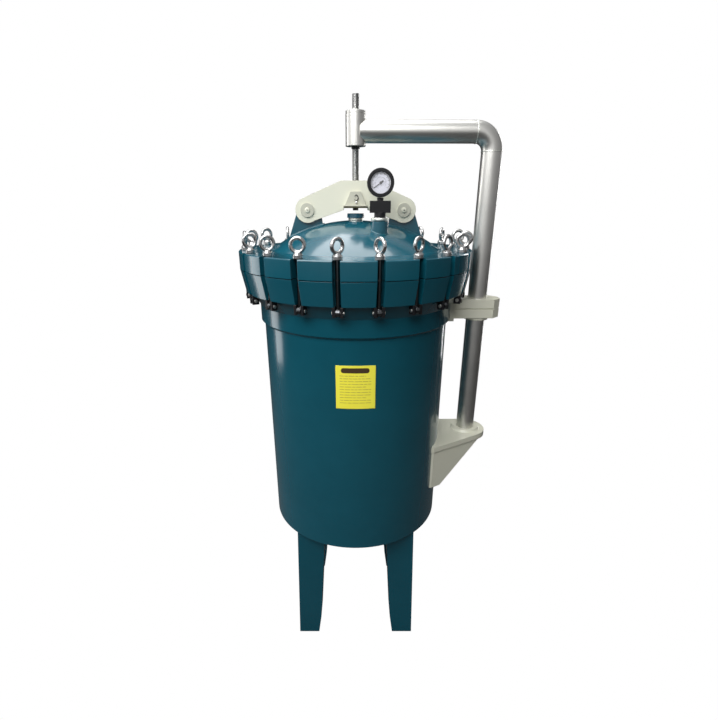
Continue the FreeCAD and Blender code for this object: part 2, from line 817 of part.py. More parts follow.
def shelf_plan(name, inset, low, high):
    """The shelf's outline: a round end at the post, a straight back edge and a flared front edge."""
    radius = d.shelf_end_radius - inset
    width = d.shelf_root_width - inset
    across, along = radius * d.shelf_tangent.sin(), radius * d.shelf_tangent.cos()
    web = plate(name + "_web", "XY_Plane", [
        (d.body_radius / 2, -width),
        (shelf_root, -width),
        (davit_reach + along, -across),
        (davit_reach, radius),
        (d.body_radius / 2, radius),
    ], high - low, (0, 0, low))
    return fuse(name, web, cylinder(name + "_end", radius, high - low, (davit_reach, 0, low)))


def gusset_side(name, wall, top):
    """The gusset's side view: it narrows down to a foot on the vessel."""
    return plate(name, "XZ_Plane", [
        (d.body_radius / 2, top),
        (d.body_radius / 2, d.gusset_low - wall),
        (d.body_radius - d.gusset_foot - wall, d.gusset_low - wall),
        (davit_reach + d.gusset_head - wall, top),
    ], d.shelf_root_width * 3)


def lower_bracket():
    """A tapered round-ended shelf under the post, on a boxed gusset as wide as the shelf."""
    top = d.shelf_top
    low = top - d.shelf_thickness
    shelf = shelf_plan("shelf", size(0), low, top)
    boss = cone("shelf_boss", d.boss_radius, d.boss_top_radius, d.boss_height, (davit_reach, 0, top))
    well = cylinder("shelf_well", d.pipe_radius + d.collar_gap, d.boss_height * 2, (davit_reach, 0, top))
    gusset = cut(
        "gusset",
        common("gusset_outer", gusset_side("gusset_outer_side", size(0), low),
               shelf_plan("gusset_outer_plan", d.gusset_inset, d.gusset_low, low)),
        common("gusset_inner", gusset_side("gusset_inner_side", d.gusset_wall, low),
               shelf_plan("gusset_inner_plan", d.gusset_inset + d.gusset_wall, d.gusset_low - d.gusset_wall, low)),
    )
    bracket = cut("lower_cut", fuse("lower_blank", shelf, boss, gusset),
                  fuse("lower_tools", well, vessel_form))
    return copy_of(bracket, "lower_placed", turn=d.davit_turn)


node("upper_bracket", group("upper_bracket", upper_bracket()))
node("lower_bracket", group("lower_bracket", lower_bracket()))
node("post_washer", cylinder("post_washer", d.pipe_radius, d.post_foot_level - d.shelf_top,
                             (post_x, post_y, d.shelf_top)))


# --- Lid ----------------------------------------------------------------------------------------
lid_body = turned("lid", [
    (0, dome_top - d.dome_wall, "arc"),
    (dome_radius - d.dome_wall, lid_top - d.dome_wall),
    (dome_radius - d.dome_wall, lid_low),
    (rim_radius, lid_low),
    (rim_radius, lid_top - d.rim_break),
    (rim_radius - d.rim_break, lid_top),
    (dome_radius, lid_top, "arc"),
    (0, dome_top),
])
slotted(lid_body, slot_inner, slot_outer, slot_width, d.bolt_count)
node("lid", place(lid_body, turn=first_bolt))

dome_form = turned("dome_form", [
    (0, lid_low),
    (dome_radius + d.weld_gap, lid_low),
    (dome_radius + d.weld_gap, lid_top, "arc"),
    (0, dome_top + d.weld_gap),
])
flange_form = cylinder("flange_form", rim_radius, d.lid_thickness + d.weld_gap, (0, 0, lid_low))
lid_form = fuse("lid_form", dome_form, flange_form)


def yoke_pin_hole(name, side, grow):
    reach = yoke_gap / 2 + d.yoke_thickness * 3
    return cylinder(name, d.yoke_pin_radius + grow, reach * 2,
                    (d.yoke_pin_span * side, reach, yoke_pin_level), 90, "x")


def lid_ear(name, side):
    """A drilled ear that stands on the dome."""
    ear = plate(name + "_plate", "XZ_Plane", [
        (d.ear_low_outer * side, ear_low_level),
        (d.ear_high_outer * side, ear_high_level),
        (d.ear_high_inner * side, ear_high_level),
        (d.ear_low_inner * side, ear_low_level),
    ], d.ear_thickness)
    return cut(name, ear, fuse(name + "_tools", lid_form, yoke_pin_hole(name + "_hole", side, d.rod_fit)))


node("lid_lugs", group("lid_lugs", lid_ear("ear_left", -1), lid_ear("ear_right", 1)))


# --- Yoke and lifting rod -----------------------------------------------------------------------
def yoke_plate(name, front):
    """An arched plate with a round end over each pin."""
    tangent_x = d.yoke_end_radius * d.yoke_tangent.cos()
    tangent_z = d.yoke_end_radius * d.yoke_tangent.sin()
    heel_x = d.yoke_end_radius * d.yoke_heel.cos()
    heel_z = d.yoke_end_radius * d.yoke_heel.sin()
    corners = []
    for side in (-1, 1):
        half = [
            (d.yoke_notch * side, yoke_under),
            (d.yoke_notch * side, yoke_notch_low),
            ((d.yoke_pin_span - heel_x) * side, yoke_pin_level - heel_z),
            ((d.yoke_pin_span + tangent_x) * side, yoke_pin_level + tangent_z),
            (d.yoke_shoulder * side, yoke_top),
        ]
        corners += half if side < 0 else half[::-1]
    arch = plate(name + "_arch", "XZ_Plane", corners, d.yoke_thickness)
    ends = [
        cylinder(f"{name}_end_{side}", d.yoke_end_radius, d.yoke_thickness,
                 (d.yoke_pin_span * side, d.yoke_thickness / 2, yoke_pin_level), 90, "x")
        for side in (-1, 1)
    ]
    holes = [yoke_pin_hole(f"{name}_hole_{side}", side, d.rod_fit) for side in (-1, 1)]
    blank = cut(name + "_drilled", fuse(name + "_blank", arch, *ends), fuse(name + "_holes", *holes))
    offset = (yoke_gap + d.yoke_thickness) / 2 * (-1 if front else 1)
    return copy_of(blank, name + "_placed", (0, offset, 0))


def yoke_pins():
    """A headed pin through each end of the yoke."""
    half = yoke_gap / 2 + d.yoke_thickness
    pins = []
    for side in (-1, 1):
        x = d.yoke_pin_span * side
        shank = cylinder(f"yoke_shank_{side}", d.yoke_pin_radius, half * 2, (x, half, yoke_pin_level), 90, "x")
        heads = [
            cylinder(f"yoke_head_{side}_{face}", d.yoke_pin_head, d.yoke_pin_head_height,
                     (x, y, yoke_pin_level), 90, "x")
            for face, y in (("front", -half), ("back", half + d.yoke_pin_head_height))
        ]
        pins.append(fuse(f"yoke_pin_{side}", shank, *heads))
    return pins


node("yoke_front_plate", group("yoke_front_plate", yoke_plate("yoke_front", True)))
node("yoke_back_plate", group("yoke_back_plate", yoke_plate("yoke_back", False)))
node("yoke_pins", group("yoke_pins", *yoke_pins()))
cross_low = yoke_under - d.clevis_thickness
stop_back = -(yoke_gap / 2 + d.yoke_thickness + d.stop_gap)
node("yoke_clevis", fuse(
    "yoke_clevis",
    box("clevis_plate", (-d.clevis_width / 2, -d.clevis_front, cross_low),
        (d.clevis_width / 2, d.clevis_back, yoke_under)),
    plate("clevis_stop", "XZ_Plane", [
        (-d.stop_low_width / 2, yoke_under),
        (d.stop_low_width / 2, yoke_under),
        (d.stop_high_width / 2, yoke_under + d.stop_height),
        (-d.stop_high_width / 2, yoke_under + d.stop_height),
    ], d.stop_thickness, (0, stop_back - d.stop_thickness / 2, 0)),
))
node("lifting_rod", cylinder("lifting_rod", d.rod_radius, rod_top - yoke_under, (0, 0, yoke_under)))
node("rod_nut", prism_hex("rod_nut", d.rod_nut_radius, d.rod_nut_height, (0, 0, cross_low - d.rod_nut_height)))


# --- Vent ---------------------------------------------------------------------------------------
node("vent_ring", cut(
    "vent_ring",
    cylinder("vent_ring_disc", d.vent_ring_radius, d.vent_ring_height * 2,
             (0, 0, dome_top - d.vent_ring_height)),
    dome_form,
))
node("vent_plug", cone("vent_plug", d.vent_radius, d.vent_top_radius, d.vent_height,
                       (0, 0, dome_top + d.vent_ring_height + d.vent_gap)))


# --- Pressure gauge -----------------------------------------------------------------------------
gauge_y = -d.gauge_front


def gauge_cylinder(name, radius, low, high):
    return cylinder(name, radius, size(high) - low, (d.gauge_right, gauge_y, low))


node("gauge_boss", cut(
    "gauge_boss",
    gauge_cylinder("gauge_boss_blank", d.gauge_boss_radius, lid_top, gauge_boss_top),
    dome_form,
))
stem_top = gauge_centre - d.gauge_radius
node("gauge_block", fuse(
    "gauge_block",
    box("gauge_cube",
        (d.gauge_right - d.gauge_block_width / 2, gauge_y - d.gauge_block_depth / 2, gauge_block_low),
        (d.gauge_right + d.gauge_block_width / 2, gauge_y + d.gauge_block_depth / 2, gauge_block_high)),
    gauge_cylinder("gauge_neck", d.gauge_neck_radius, gauge_boss_top, gauge_block_low),
    gauge_cylinder("gauge_stem", d.gauge_stem_radius, gauge_block_high, stem_top - d.weld_gap),
))
gauge_back = gauge_y + d.gauge_depth / 2
gauge_face = gauge_y - d.gauge_depth / 2


def gauge_disc(name, radius, front, thickness):
    """A disc facing the front, whose front face is at a distance behind the gauge's face."""
    return cylinder(name, radius, thickness, (d.gauge_right, gauge_face + front + thickness, gauge_centre), 90, "x")


node("gauge_case", cut(
    "gauge_case",
    gauge_disc("gauge_case_outer", d.gauge_radius, size(0), d.gauge_depth),
    gauge_disc("gauge_case_inner", d.gauge_radius - d.gauge_bezel, -d.gauge_dial_depth, d.gauge_dial_depth * 2),
))
inner_radius = d.gauge_radius - d.gauge_bezel - d.vent_gap
node("gauge_dial", gauge_disc("gauge_dial", inner_radius, d.gauge_dial_depth - d.gauge_dial_thickness,
                              d.gauge_dial_thickness))
node("gauge_lens", gauge_disc("gauge_lens", inner_radius, d.pointer_gap, d.gauge_lens_thickness))
pointer_bar = fuse(
    "pointer_bar",
    box("pointer_blade", (-d.pointer_width / 2, 0, 0), (d.pointer_width / 2, d.pointer_thickness, d.pointer_length)),
    box("pointer_tail", (-d.pointer_tail_width / 2, 0, -d.pointer_tail),
        (d.pointer_tail_width / 2, d.pointer_thickness, 0)),
    cylinder("pointer_hub", d.pointer_hub, d.pointer_thickness, (0, d.pointer_thickness, 0), 90, "x"),
)
pointer_depth = d.gauge_dial_depth - d.gauge_dial_thickness - d.pointer_gap - d.pointer_thickness
pointer = doc.addObject("App::Link", "pointer_placed")
pointer.LinkedObject = pointer_bar
node("gauge_pointer", group("gauge_pointer", place(
    pointer, (d.gauge_right, gauge_face + pointer_depth, gauge_centre), d.pointer_rest, "y")))


# --- Inner pieces -------------------------------------------------------------------------------
cartridge_spots = [(size(0), size(0))] + [
    polar(d.cartridge_pitch, 360 / CARTRIDGE_RING * i) for i in range(CARTRIDGE_RING)]
cap_low = d.sheet_level + d.sheet_thickness
media_low = cap_low + d.cartridge_cap_height
media_high = media_low + d.cartridge_length
cap_high = media_high + d.cartridge_cap_height


def bored_discs(name, radius, bore, low, height):
    """One bored cylinder for each cartridge."""
    blank = cut(name + "_blank", cylinder(name + "_outer", radius, height), cylinder(name + "_bore", bore, height))
    return [copy_of(blank, f"{name}_{i + 1}", (x, y, low)) for i, (x, y) in enumerate(cartridge_spots)]


node("tube_sheet", cut(
    "tube_sheet",
    cylinder("sheet_disc", bore_radius - d.sheet_clearance, d.sheet_thickness, (0, 0, d.sheet_level)),
    fuse("sheet_holes", *[
        cylinder(f"sheet_hole_{i}", d.cartridge_core, d.sheet_thickness * 3, (x, y, d.sheet_level - d.sheet_thickness))
        for i, (x, y) in enumerate(cartridge_spots)]),
))
node("filter_media", group("filter_media", *bored_discs(
    "media", d.cartridge_radius, d.cartridge_core, media_low, d.cartridge_length)))
cap_radius = d.cartridge_radius + d.cartridge_cap_lip
node("cartridge_caps", group(
    "cartridge_caps",
    *bored_discs("low_cap", cap_radius, d.cartridge_core, cap_low, d.cartridge_cap_height),
    *bored_discs("high_cap", cap_radius, d.cartridge_core, media_high, d.cartridge_cap_height),
))
node("hold_down_plate", cylinder("hold_down_plate", hold_down_radius, d.hold_down_thickness, (0, 0, cap_high)))


# --- Label --------------------------------------------------------------------------------------
label_block = box("label_block", (-d.label_width / 2, -d.body_radius * 2, label_low),
                  (d.label_width / 2, -d.body_radius / 2, label_high))
label_ring = cut(
    "label_ring",
    cylinder("label_outer", d.body_radius + d.label_thickness, label_high * 2),
    cylinder("label_inner", d.body_radius + d.label_glue, label_high * 2),
)
node("label_plate", common("label_plate", label_ring, label_block))


# --- Checks and files ---------------------------------------------------------------------------
doc.recompute()
for thing in doc.Objects:
    if "Invalid" in thing.State or "Error" in thing.State:
        raise RuntimeError(f"{thing.Name} did not build: {thing.State}")
for thing in nodes:
    if thing.Shape.isNull() or not thing.Shape.isValid() or not thing.Shape.Solids:
        raise RuntimeError(f"{thing.Label} has no valid solid")
os.makedirs("parts", exist_ok=True)
for thing in nodes:
    thing.Shape.exportStep(f"parts/{thing.Label}.step")
print(len(nodes), "nodes")
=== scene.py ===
# %% [markdown]
# # A cartridge filter housing, dressed for its portrait
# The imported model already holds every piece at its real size: a steel vessel on four legs, a domed lid
# held by twenty swing bolts, and a davit that lifts the lid. This script keeps those pieces where they
# are. It adds paint, metal and rubber, and the small things that a maker adds last: weld beads, threads,
# a printed plate and the marks of a gauge.

# %% Load the frame
import math
import random

import bpy
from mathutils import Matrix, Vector
from mathutils.bvhtree import BVHTree


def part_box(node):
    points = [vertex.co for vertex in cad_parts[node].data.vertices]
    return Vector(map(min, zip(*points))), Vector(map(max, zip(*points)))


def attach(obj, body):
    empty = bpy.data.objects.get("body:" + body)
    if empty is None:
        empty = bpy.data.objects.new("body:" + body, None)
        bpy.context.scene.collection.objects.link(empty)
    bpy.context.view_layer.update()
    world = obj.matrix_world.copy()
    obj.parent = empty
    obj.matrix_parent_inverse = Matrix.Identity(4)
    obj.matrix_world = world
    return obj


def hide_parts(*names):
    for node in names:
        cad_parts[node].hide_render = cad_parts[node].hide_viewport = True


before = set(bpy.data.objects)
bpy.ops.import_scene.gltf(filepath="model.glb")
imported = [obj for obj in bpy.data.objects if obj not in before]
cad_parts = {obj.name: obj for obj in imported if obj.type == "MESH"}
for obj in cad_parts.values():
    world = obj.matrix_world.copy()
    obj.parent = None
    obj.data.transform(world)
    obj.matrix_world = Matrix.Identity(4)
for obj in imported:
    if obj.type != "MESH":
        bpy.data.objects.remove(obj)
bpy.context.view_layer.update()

random.seed(7)
MM = 0.001

# %% [markdown]
# ## Sizes from the frame
# Nothing is placed by eye. Each level and radius is read from the box of a real piece, so if the housing
# changes, the beads and threads move with it.

# %% Sizes from the frame
def low_high(node):
    low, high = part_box(node)
    return Vector(low), Vector(high)


def middle(node):
    low, high = low_high(node)
    return (low + high) / 2


label_low, label_high = low_high("label_plate")
lid_low, lid_high = low_high("lid")
rim_radius = (lid_high.x - lid_low.x) / 2
EYE_NUT_HEIGHT = 53.8 * MM
TUBE_SHEET_GAP = 6.5 * MM
lid_high_flange = low_high("swing_bolt_01")[1].z - EYE_NUT_HEIGHT
sheet_low, sheet_high = low_high("tube_sheet")
body_radius = (sheet_high.x - sheet_low.x) / 2 + TUBE_SHEET_GAP
BOLTS = [f"swing_bolt_{i + 1:02d}" for i in range(20)]
LEGS = ["leg_front_left", "leg_front_right", "leg_back_left", "leg_back_right"]
print("rim radius", round(rim_radius, 4), "body radius", round(body_radius, 4))

# %% [markdown]
# ## The camera and the room
# The housing stands on a plain pale floor in front of a pale wall of light. The lens is wide and stands
# at the height of an eye, a pace and a half in front of the vessel, looking down at the lid.

# %% Camera
EYE = Vector((0.0, -1.5, 1.519))
TILT_DOWN = 22.05
camera_data = bpy.data.cameras.new("camera")
camera_data.sensor_width = 36.0
camera_data.lens = 22.9
camera_data.shift_x = 0.0047
camera_data.shift_y = 0.043
camera_data.clip_start = 0.01
camera = bpy.data.objects.new("camera", camera_data)
bpy.context.collection.objects.link(camera)
camera.location = EYE
camera.rotation_euler = (math.radians(90 - TILT_DOWN), 0.0, 0.0)
bpy.context.scene.camera = camera

# %% [markdown]
# Gloss paint shows the room more than its own colour, so the lights are part of the finish. Two tall soft
# panels stand at the sides, one wide panel hangs above, and the pale world fills the shadows.

# %% Lights and floor
def panel_light(name, place, aim, size, power):
    """A rectangular soft light that looks at a point."""
    data = bpy.data.lights.new(name, "AREA")
    data.shape = "RECTANGLE"
    data.size, data.size_y = size
    data.energy = power
    lamp = bpy.data.objects.new(name, data)
    bpy.context.collection.objects.link(lamp)
    lamp.location = place
    lamp.rotation_euler = (Vector(aim) - Vector(place)).to_track_quat("-Z", "Y").to_euler()
    return lamp


panel_light("light_left", (-2.5, 0.7, 1.4), (0, 0, 1.0), (0.7, 2.4), 14)
panel_light("light_right", (1.8, 1.9, 1.4), (0, 0, 1.0), (0.3, 2.4), 18)
panel_light("light_top", (-0.4, 0.3, 3.6), (0, 0, 1.2), (2.6, 1.8), 62)
panel_light("light_front", (-1.1, -2.3, 3.3), (0, 0, 1.3), (3.4, 1.6), 116)

# %% [markdown]
# The world is white where it is seen straight on, and dimmer where it lights the paint, as a pale
# workshop is behind the eye. The floor curves up behind the housing, so that no horizon crosses it.

# %% World
SOFT_LIGHT = 0.40


def make_world():
    """White where it is seen straight on. Polished pieces see a pale wall above a dark shop floor."""
    world = bpy.data.worlds.new("world")
    world.use_nodes = True
    tree = world.node_tree
    background = tree.nodes["Background"]
    ray = tree.nodes.new("ShaderNodeLightPath")
    place = tree.nodes.new("ShaderNodeTexCoord")
    parts = tree.nodes.new("ShaderNodeSeparateXYZ")
    tree.links.new(place.outputs["Generated"], parts.inputs[0])
    wall = tree.nodes.new("ShaderNodeValToRGB")
    shades = [(0.36, 0.02), (0.44, 0.20), (0.49, 0.95), (0.64, 0.70), (1.0, 0.80)]
    while len(wall.color_ramp.elements) < len(shades):
        wall.color_ramp.elements.new(0.5)
    for stop, (place_up, value) in zip(wall.color_ramp.elements, shades):
        stop.position = place_up
        stop.color = (value, value, value * 1.02, 1.0)
    height = tree.nodes.new("ShaderNodeMapRange")
    height.inputs["From Min"].default_value = -1.0
    tree.links.new(parts.outputs["Z"], height.inputs["Value"])
    tree.links.new(height.outputs["Result"], wall.inputs["Fac"])
    from_left = tree.nodes.new("ShaderNodeMapRange")
    from_left.inputs["From Min"].default_value = -1.0
    from_left.inputs["To Min"].default_value = 1.15
    from_left.inputs["To Max"].default_value = 0.36
    tree.links.new(parts.outputs["X"], from_left.inputs["Value"])
    shaded = tree.nodes.new("ShaderNodeVectorMath")
    shaded.operation = "SCALE"
    tree.links.new(wall.outputs["Color"], shaded.inputs[0])
    tree.links.new(from_left.outputs["Result"], shaded.inputs["Scale"])
    strength = tree.nodes.new("ShaderNodeMapRange")
    strength.inputs["To Min"].default_value = 1.0
    strength.inputs["To Max"].default_value = SOFT_LIGHT
    tree.links.new(ray.outputs["Is Diffuse Ray"], strength.inputs["Value"])
    tree.links.new(strength.outputs["Result"], background.inputs["Strength"])
    seen = tree.nodes.new("ShaderNodeMix")
    seen.data_type = "RGBA"
    tree.links.new(ray.outputs["Is Camera Ray"], seen.inputs[0])
    tree.links.new(shaded.outputs["Vector"], seen.inputs[6])
    seen.inputs[7].default_value = (1.0, 1.0, 1.0, 1.0)
    tree.links.new(seen.outputs[2], background.inputs["Color"])
    bpy.context.scene.world = world


make_world()
bpy.context.scene.view_settings.view_transform = "Standard"

# %% Floor
FLOOR_REACH = 9.0
BEND = 3.0


def curved_floor():
    """A wide pale sheet that lies flat and then bends up behind the housing."""
    rows = [(-FLOOR_REACH, 0.0)]
    steps = 24
    for i in range(steps + 1):
        angle = math.radians(90 * i / steps)
        rows.append((FLOOR_REACH - BEND + BEND * math.sin(angle), BEND - BEND * math.cos(angle)))
    rows.append((FLOOR_REACH, FLOOR_REACH))
    corners = [(x, y, z) for y, z in rows for x in (-2 * FLOOR_REACH, 2 * FLOOR_REACH)]
    faces = [(2 * i, 2 * i + 1, 2 * i + 3, 2 * i + 2) for i in range(len(rows) - 1)]
    mesh = bpy.data.meshes.new("floor")
    mesh.from_pydata(corners, [], faces)
    mesh.polygons.foreach_set("use_smooth", [True] * len(faces))
    sheet = bpy.data.objects.new("floor", mesh)
    bpy.context.collection.objects.link(sheet)
    return sheet


floor = curved_floor()

# %% [markdown]
# ## Shared effects as node groups
# Three effects turn up in many finishes: slow blotches of colour, a fine grain, and long brushed lines.
# Each is a node group with named inputs and outputs, built once and used with other numbers in each
# material.

# %% Node group helpers
def new_group(name, inputs, outputs):
    """A shader node group with named sockets. An input is (name, kind, default)."""
    group = bpy.data.node_groups.new(name, "ShaderNodeTree")
    for label, kind, default in inputs:
        socket = group.interface.new_socket(label, in_out="INPUT", socket_type=kind)
        socket.default_value = default
    for label, kind in outputs:
        group.interface.new_socket(label, in_out="OUTPUT", socket_type=kind)
    entry = group.nodes.new("NodeGroupInput")
    leave = group.nodes.new("NodeGroupOutput")
    return group, entry, leave


def add(tree, kind, settings=None, **inputs):
    """A node with its settings, and its inputs as numbers or as links from other sockets."""
    node = tree.nodes.new(kind)
    for key, value in (settings or {}).items():
        setattr(node, key, value)
    for key, value in inputs.items():
        socket = node.inputs[key.replace("_", " ")]
        if isinstance(value, bpy.types.NodeSocket):
            tree.links.new(value, socket)
        else:
            socket.default_value = value
    return node


def link(tree, source, target):
    tree.links.new(source, target)


FLOAT = "NodeSocketFloat"
COLOR = "NodeSocketColor"

# %% The blotch group
def make_blotch_group():
    """Slow variation between two colours, with its mask, in object space."""
    group, entry, leave = new_group(
        "slow blotches",
        [("Color A", COLOR, (0.5, 0.5, 0.5, 1)), ("Color B", COLOR, (0.4, 0.4, 0.4, 1)),
         ("Scale", FLOAT, 5.0), ("Contrast", FLOAT, 0.5)],
        [("Color", COLOR), ("Mask", FLOAT)],
    )
    place = add(group, "ShaderNodeTexCoord")
    noise = add(group, "ShaderNodeTexNoise", Vector=place.outputs["Object"],
                Scale=entry.outputs["Scale"], Detail=4.0, Roughness=0.6)
    spread = add(group, "ShaderNodeMath", {"operation": "SUBTRACT"})
    link(group, noise.outputs["Fac"], spread.inputs[0])
    spread.inputs[1].default_value = 0.5
    scaled = add(group, "ShaderNodeMath", {"operation": "MULTIPLY"})
    link(group, spread.outputs[0], scaled.inputs[0])
    link(group, entry.outputs["Contrast"], scaled.inputs[1])
    centred = add(group, "ShaderNodeMath", {"operation": "ADD", "use_clamp": True})
    link(group, scaled.outputs[0], centred.inputs[0])
    centred.inputs[1].default_value = 0.5
    mix = add(group, "ShaderNodeMix", {"data_type": "RGBA"})
    link(group, centred.outputs[0], mix.inputs[0])
    link(group, entry.outputs["Color A"], mix.inputs[6])
    link(group, entry.outputs["Color B"], mix.inputs[7])
    link(group, mix.outputs[2], leave.inputs["Color"])
    link(group, centred.outputs[0], leave.inputs["Mask"])
    return group


BLOTCHES = make_blotch_group()

# %% The grain group
def make_grain_group():
    """A fine even grain, as sprayed paint or cast metal has, and a roughness that follows it."""
    group, entry, leave = new_group(
        "fine grain",
        [("Scale", FLOAT, 300.0), ("Roughness", FLOAT, 0.3), ("Spread", FLOAT, 0.05)],
        [("Height", FLOAT), ("Roughness", FLOAT)],
    )
    place = add(group, "ShaderNodeTexCoord")
    noise = add(group, "ShaderNodeTexNoise", Vector=place.outputs["Object"],
                Scale=entry.outputs["Scale"], Detail=2.0, Roughness=0.5)
    offset = add(group, "ShaderNodeMath", {"operation": "SUBTRACT"})
    link(group, noise.outputs["Fac"], offset.inputs[0])
    offset.inputs[1].default_value = 0.5
    part = add(group, "ShaderNodeMath", {"operation": "MULTIPLY_ADD"})
    link(group, offset.outputs[0], part.inputs[0])
    link(group, entry.outputs["Spread"], part.inputs[1])
    link(group, entry.outputs["Roughness"], part.inputs[2])
    link(group, noise.outputs["Fac"], leave.inputs["Height"])
    link(group, part.outputs[0], leave.inputs["Roughness"])
    return group


GRAIN = make_grain_group()

# %% The brushed lines group
def make_brush_group():
    """Long thin lines, as a belt leaves on steel. Along scales each axis: its smallest part is their run."""
    group, entry, leave = new_group(
        "brushed lines",
        [("Along", "NodeSocketVector", (900.0, 900.0, 6.0)),
         ("Roughness", FLOAT, 0.3), ("Spread", FLOAT, 0.15)],
        [("Height", FLOAT), ("Roughness", FLOAT)],
    )
    place = add(group, "ShaderNodeTexCoord")
    scaled = add(group, "ShaderNodeVectorMath", {"operation": "MULTIPLY"})
    link(group, place.outputs["Object"], scaled.inputs[0])
    link(group, entry.outputs["Along"], scaled.inputs[1])
    noise = add(group, "ShaderNodeTexNoise", Vector=scaled.outputs[0],
                Scale=1.0, Detail=3.0, Roughness=0.65)
    offset = add(group, "ShaderNodeMath", {"operation": "SUBTRACT"})
    link(group, noise.outputs["Fac"], offset.inputs[0])
    offset.inputs[1].default_value = 0.5
    part = add(group, "ShaderNodeMath", {"operation": "MULTIPLY_ADD"})
    link(group, offset.outputs[0], part.inputs[0])
    link(group, entry.outputs["Spread"], part.inputs[1])
    link(group, entry.outputs["Roughness"], part.inputs[2])
    link(group, noise.outputs["Fac"], leave.inputs["Height"])
    link(group, part.outputs[0], leave.inputs["Roughness"])
    return group


BRUSHED = make_brush_group()

# %% [markdown]
# ## The materials
# A material here is one Principled shader. The groups feed its colour, its roughness and its bump; what is
# the same everywhere, such as metalness or a clear coat, is set on the shader itself.

# %% Material helpers
def new_material(name, **fixed):
    """A Principled material, with the values that are the same all over the surface."""
    material = bpy.data.materials.new(name)
    material.use_nodes = True
    tree = material.node_tree
    shader = tree.nodes["Principled BSDF"]
    for key, value in fixed.items():
        shader.inputs[key.replace("_", " ")].default_value = value
    return material, tree, shader


def use_group(tree, group, **inputs):
    return add(tree, "ShaderNodeGroup", {"node_tree": group}, **inputs)


def add_bump(tree, shader, height, strength, distance):
    """Soft edges and a fine relief, on the shader's normal."""
    edge = add(tree, "ShaderNodeBevel", {"samples": 4}, Radius=EDGE)
    bump = add(tree, "ShaderNodeBump", Strength=strength, Distance=distance, Height=height)
    link(tree, edge.outputs["Normal"], bump.inputs["Normal"])
    link(tree, bump.outputs["Normal"], shader.inputs["Normal"])
    return bump


def painted(name, color_a, color_b, roughness, spread, grain_scale, bump, **fixed):
    """Sprayed paint: slow blotches of colour under a fine orange peel."""
    material, tree, shader = new_material(name, **fixed)
    blotch = use_group(tree, BLOTCHES, Color_A=color_a, Color_B=color_b, Scale=7.0, Contrast=1.2)
    grain = use_group(tree, GRAIN, Scale=grain_scale, Roughness=roughness, Spread=spread)
    link(tree, blotch.outputs["Color"], shader.inputs["Base Color"])
    link(tree, grain.outputs["Roughness"], shader.inputs["Roughness"])
    add_bump(tree, shader, grain.outputs["Height"], bump, 0.0006)
    return material


def brushed(name, color_a, color_b, roughness, spread, along, bump, **fixed):
    """Brushed or turned metal, with lines along one direction."""
    material, tree, shader = new_material(name, Metallic=1.0, **fixed)
    blotch = use_group(tree, BLOTCHES, Color_A=color_a, Color_B=color_b, Scale=14.0, Contrast=1.6)
    lines = use_group(tree, BRUSHED, Along=along, Roughness=roughness, Spread=spread)
    link(tree, blotch.outputs["Color"], shader.inputs["Base Color"])
    link(tree, lines.outputs["Roughness"], shader.inputs["Roughness"])
    add_bump(tree, shader, lines.outputs["Height"], bump, 0.0004)
    return material


# %% The finishes
EDGE = 2.0 * MM
UP = (700.0, 700.0, 5.0)
ACROSS = (5.0, 700.0, 700.0)
teal_paint = painted("teal gloss paint", (0.002, 0.066, 0.096, 1), (0.004, 0.084, 0.122, 1),
                     0.20, 0.06, 260.0, 0.05, Coat_Weight=0.40, Coat_Roughness=0.10)
cream_paint = painted("cream satin paint", (0.72, 0.72, 0.58, 1), (0.78, 0.78, 0.66, 1),
                      0.34, 0.10, 420.0, 0.10, Coat_Weight=0.15, Coat_Roughness=0.2)
steel_up = brushed("stainless, brushed upwards", (0.60, 0.60, 0.57, 1), (0.72, 0.71, 0.67, 1),
                   0.36, 0.12, UP, 0.08)
steel_across = brushed("stainless, brushed along the arm", (0.60, 0.60, 0.57, 1), (0.72, 0.71, 0.67, 1),
                       0.36, 0.12, ACROSS, 0.08)
bright_steel = brushed("bright zinc", (0.72, 0.72, 0.70, 1), (0.86, 0.86, 0.84, 1),
                       0.12, 0.10, (320.0, 320.0, 320.0), 0.05)
pale_zinc = brushed("pale zinc washer", (0.70, 0.72, 0.66, 1), (0.82, 0.84, 0.78, 1),
                    0.42, 0.10, (300.0, 300.0, 300.0), 0.05)
# Black oxide for the nuts, the gauge, the pins and the clips. On the teal-painted pivot lugs this black is
# painted shade under the flange.
black_steel = painted("black oxide and painted lug shade", (0.004, 0.004, 0.005, 1), (0.010, 0.010, 0.012, 1),
                      0.38, 0.14, 500.0, 0.12, Specular_IOR_Level=0.35)
# A darker copy of the cream paint: painted shade for the yoke's clevis and its pins.
cream_painted_shade = painted("cream paint, darker for painted shade", (0.50, 0.50, 0.41, 1), (0.57, 0.57, 0.48, 1),
                      0.40, 0.10, 420.0, 0.10)
bare_edge = painted("bare cut edge", (0.045, 0.042, 0.022, 1), (0.085, 0.08, 0.045, 1),
                    0.45, 0.12, 420.0, 0.12, Metallic=0.5)
rubber = painted("seal rubber", (0.010, 0.010, 0.010, 1), (0.022, 0.022, 0.022, 1),
                 0.62, 0.12, 700.0, 0.2)
blue_cap = painted("blue moulded cap", (0.010, 0.070, 0.115, 1), (0.016, 0.090, 0.140, 1),
                   0.28, 0.08, 600.0, 0.08, Coat_Weight=0.2)
dial_white = painted("dial enamel", (0.80, 0.80, 0.90, 1), (0.86, 0.86, 0.95, 1),
                     0.35, 0.05, 600.0, 0.02)
label_yellow = painted("yellow foil", (0.97, 0.88, 0.06, 1), (1.0, 0.94, 0.10, 1),
                       0.32, 0.08, 350.0, 0.06)
label_brown = painted("brown print", (0.05, 0.030, 0.012, 1), (0.075, 0.045, 0.02, 1),
                      0.38, 0.06, 350.0, 0.04)
